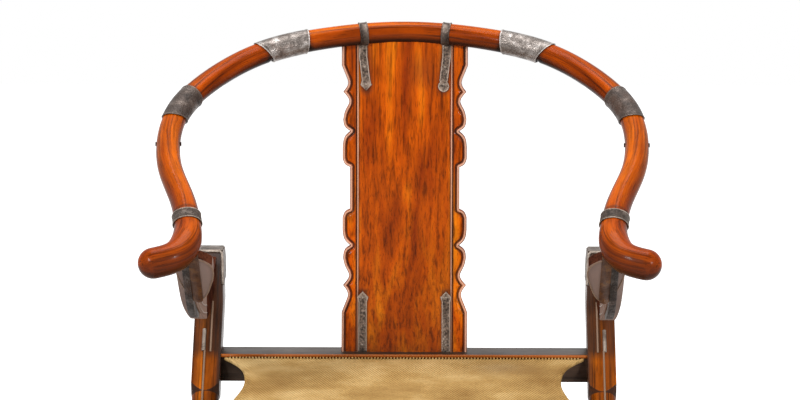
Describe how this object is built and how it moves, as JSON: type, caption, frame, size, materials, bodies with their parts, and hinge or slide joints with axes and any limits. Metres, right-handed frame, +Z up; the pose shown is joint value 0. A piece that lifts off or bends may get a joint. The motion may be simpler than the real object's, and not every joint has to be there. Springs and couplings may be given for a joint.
{
  "type": "folding armchair",
  "caption": "Folding armchair with a horseshoe arm rail, curved back splat, crossed legs on floor runners, woven seat and a hinged footrest, with iron fittings.",
  "frame": {"origin": "on the floor, under the middle of the chair's overall length and width", "axes": "+Z up, +X to the right of someone who looks at the chair from the front, -Y the way the sitter faces"},
  "size_m": [0.6768, 0.76, 0.9658],
  "materials": {
    "huanghuali_wood": "polished old hardwood, orange to red-brown with dark figure",
    "wrought_iron": "dark grey-brown wrought iron, worn and satin",
    "woven_seat": "fine tan weave"
  },
  "bodies": {
    "back_frame": {"arm_band_left": "wrought_iron", "arm_band_right": "wrought_iron", "arm_brace_left": "wrought_iron", "arm_brace_right": "wrought_iron", "arm_post_left": "huanghuali_wood", "arm_post_right": "huanghuali_wood", "arm_rail_left": "huanghuali_wood", "arm_rail_right": "huanghuali_wood", "arm_studs": "wrought_iron", "crest_rail_center": "huanghuali_wood", "crest_rail_left": "huanghuali_wood", "crest_rail_right": "huanghuali_wood", "crest_strap_left": "wrought_iron", "crest_strap_right": "wrought_iron", "elbow_mount_left": "wrought_iron", "elbow_mount_right": "wrought_iron", "footrest_pins": "wrought_iron", "front_foot_plates": "wrought_iron", "front_leg_left": "huanghuali_wood", "front_leg_right": "huanghuali_wood", "front_sledge": "huanghuali_wood", "inner_sleeve_left": "wrought_iron", "inner_sleeve_right": "wrought_iron", "leg_strap_left": "wrought_iron", "leg_strap_right": "wrought_iron", "outer_sleeve_left": "wrought_iron", "outer_sleeve_right": "wrought_iron", "pivot_pin_left": "wrought_iron", "pivot_pin_right": "wrought_iron", "pivot_washers_left": "wrought_iron", "pivot_washers_right": "wrought_iron", "post_strap_left": "wrought_iron", "post_strap_right": "wrought_iron", "rear_seat_rail": "huanghuali_wood", "splat_flange_left": "huanghuali_wood", "splat_flange_right": "huanghuali_wood", "splat_panel": "huanghuali_wood", "splat_strap_left": "wrought_iron", "splat_strap_right": "wrought_iron", "strap_nails": "wrought_iron"},
    "seat_frame": {"front_seat_rail": "huanghuali_wood", "rear_leg_left": "huanghuali_wood", "rear_leg_right": "huanghuali_wood", "rear_sledge": "huanghuali_wood", "rear_foot_plates": "wrought_iron", "seat_mat": "woven_seat"},
    "footrest": {"footrest_board": "huanghuali_wood", "footrest_side_left": "huanghuali_wood", "footrest_side_right": "huanghuali_wood", "footrest_foot_left": "huanghuali_wood", "footrest_foot_right": "huanghuali_wood", "footrest_apron": "huanghuali_wood", "footrest_batten": "huanghuali_wood", "footrest_plate": "wrought_iron", "footrest_corners": "wrought_iron"}
  },
  "joints": [
    {"name": "fold", "type": "hinge", "parent": "back_frame", "child": "seat_frame", "pos_m": [0, 0.00959, 0.26489], "axis": [-1, 0, 0], "range_deg": [0, 70], "deforming": ["seat_mat"]},
    {"name": "footrest_hinge", "type": "hinge", "parent": "back_frame", "child": "footrest", "pos_m": [0, -0.18925, 0.062], "axis": [-1, 0, 0], "range_deg": [0, 75]}
  ]
}
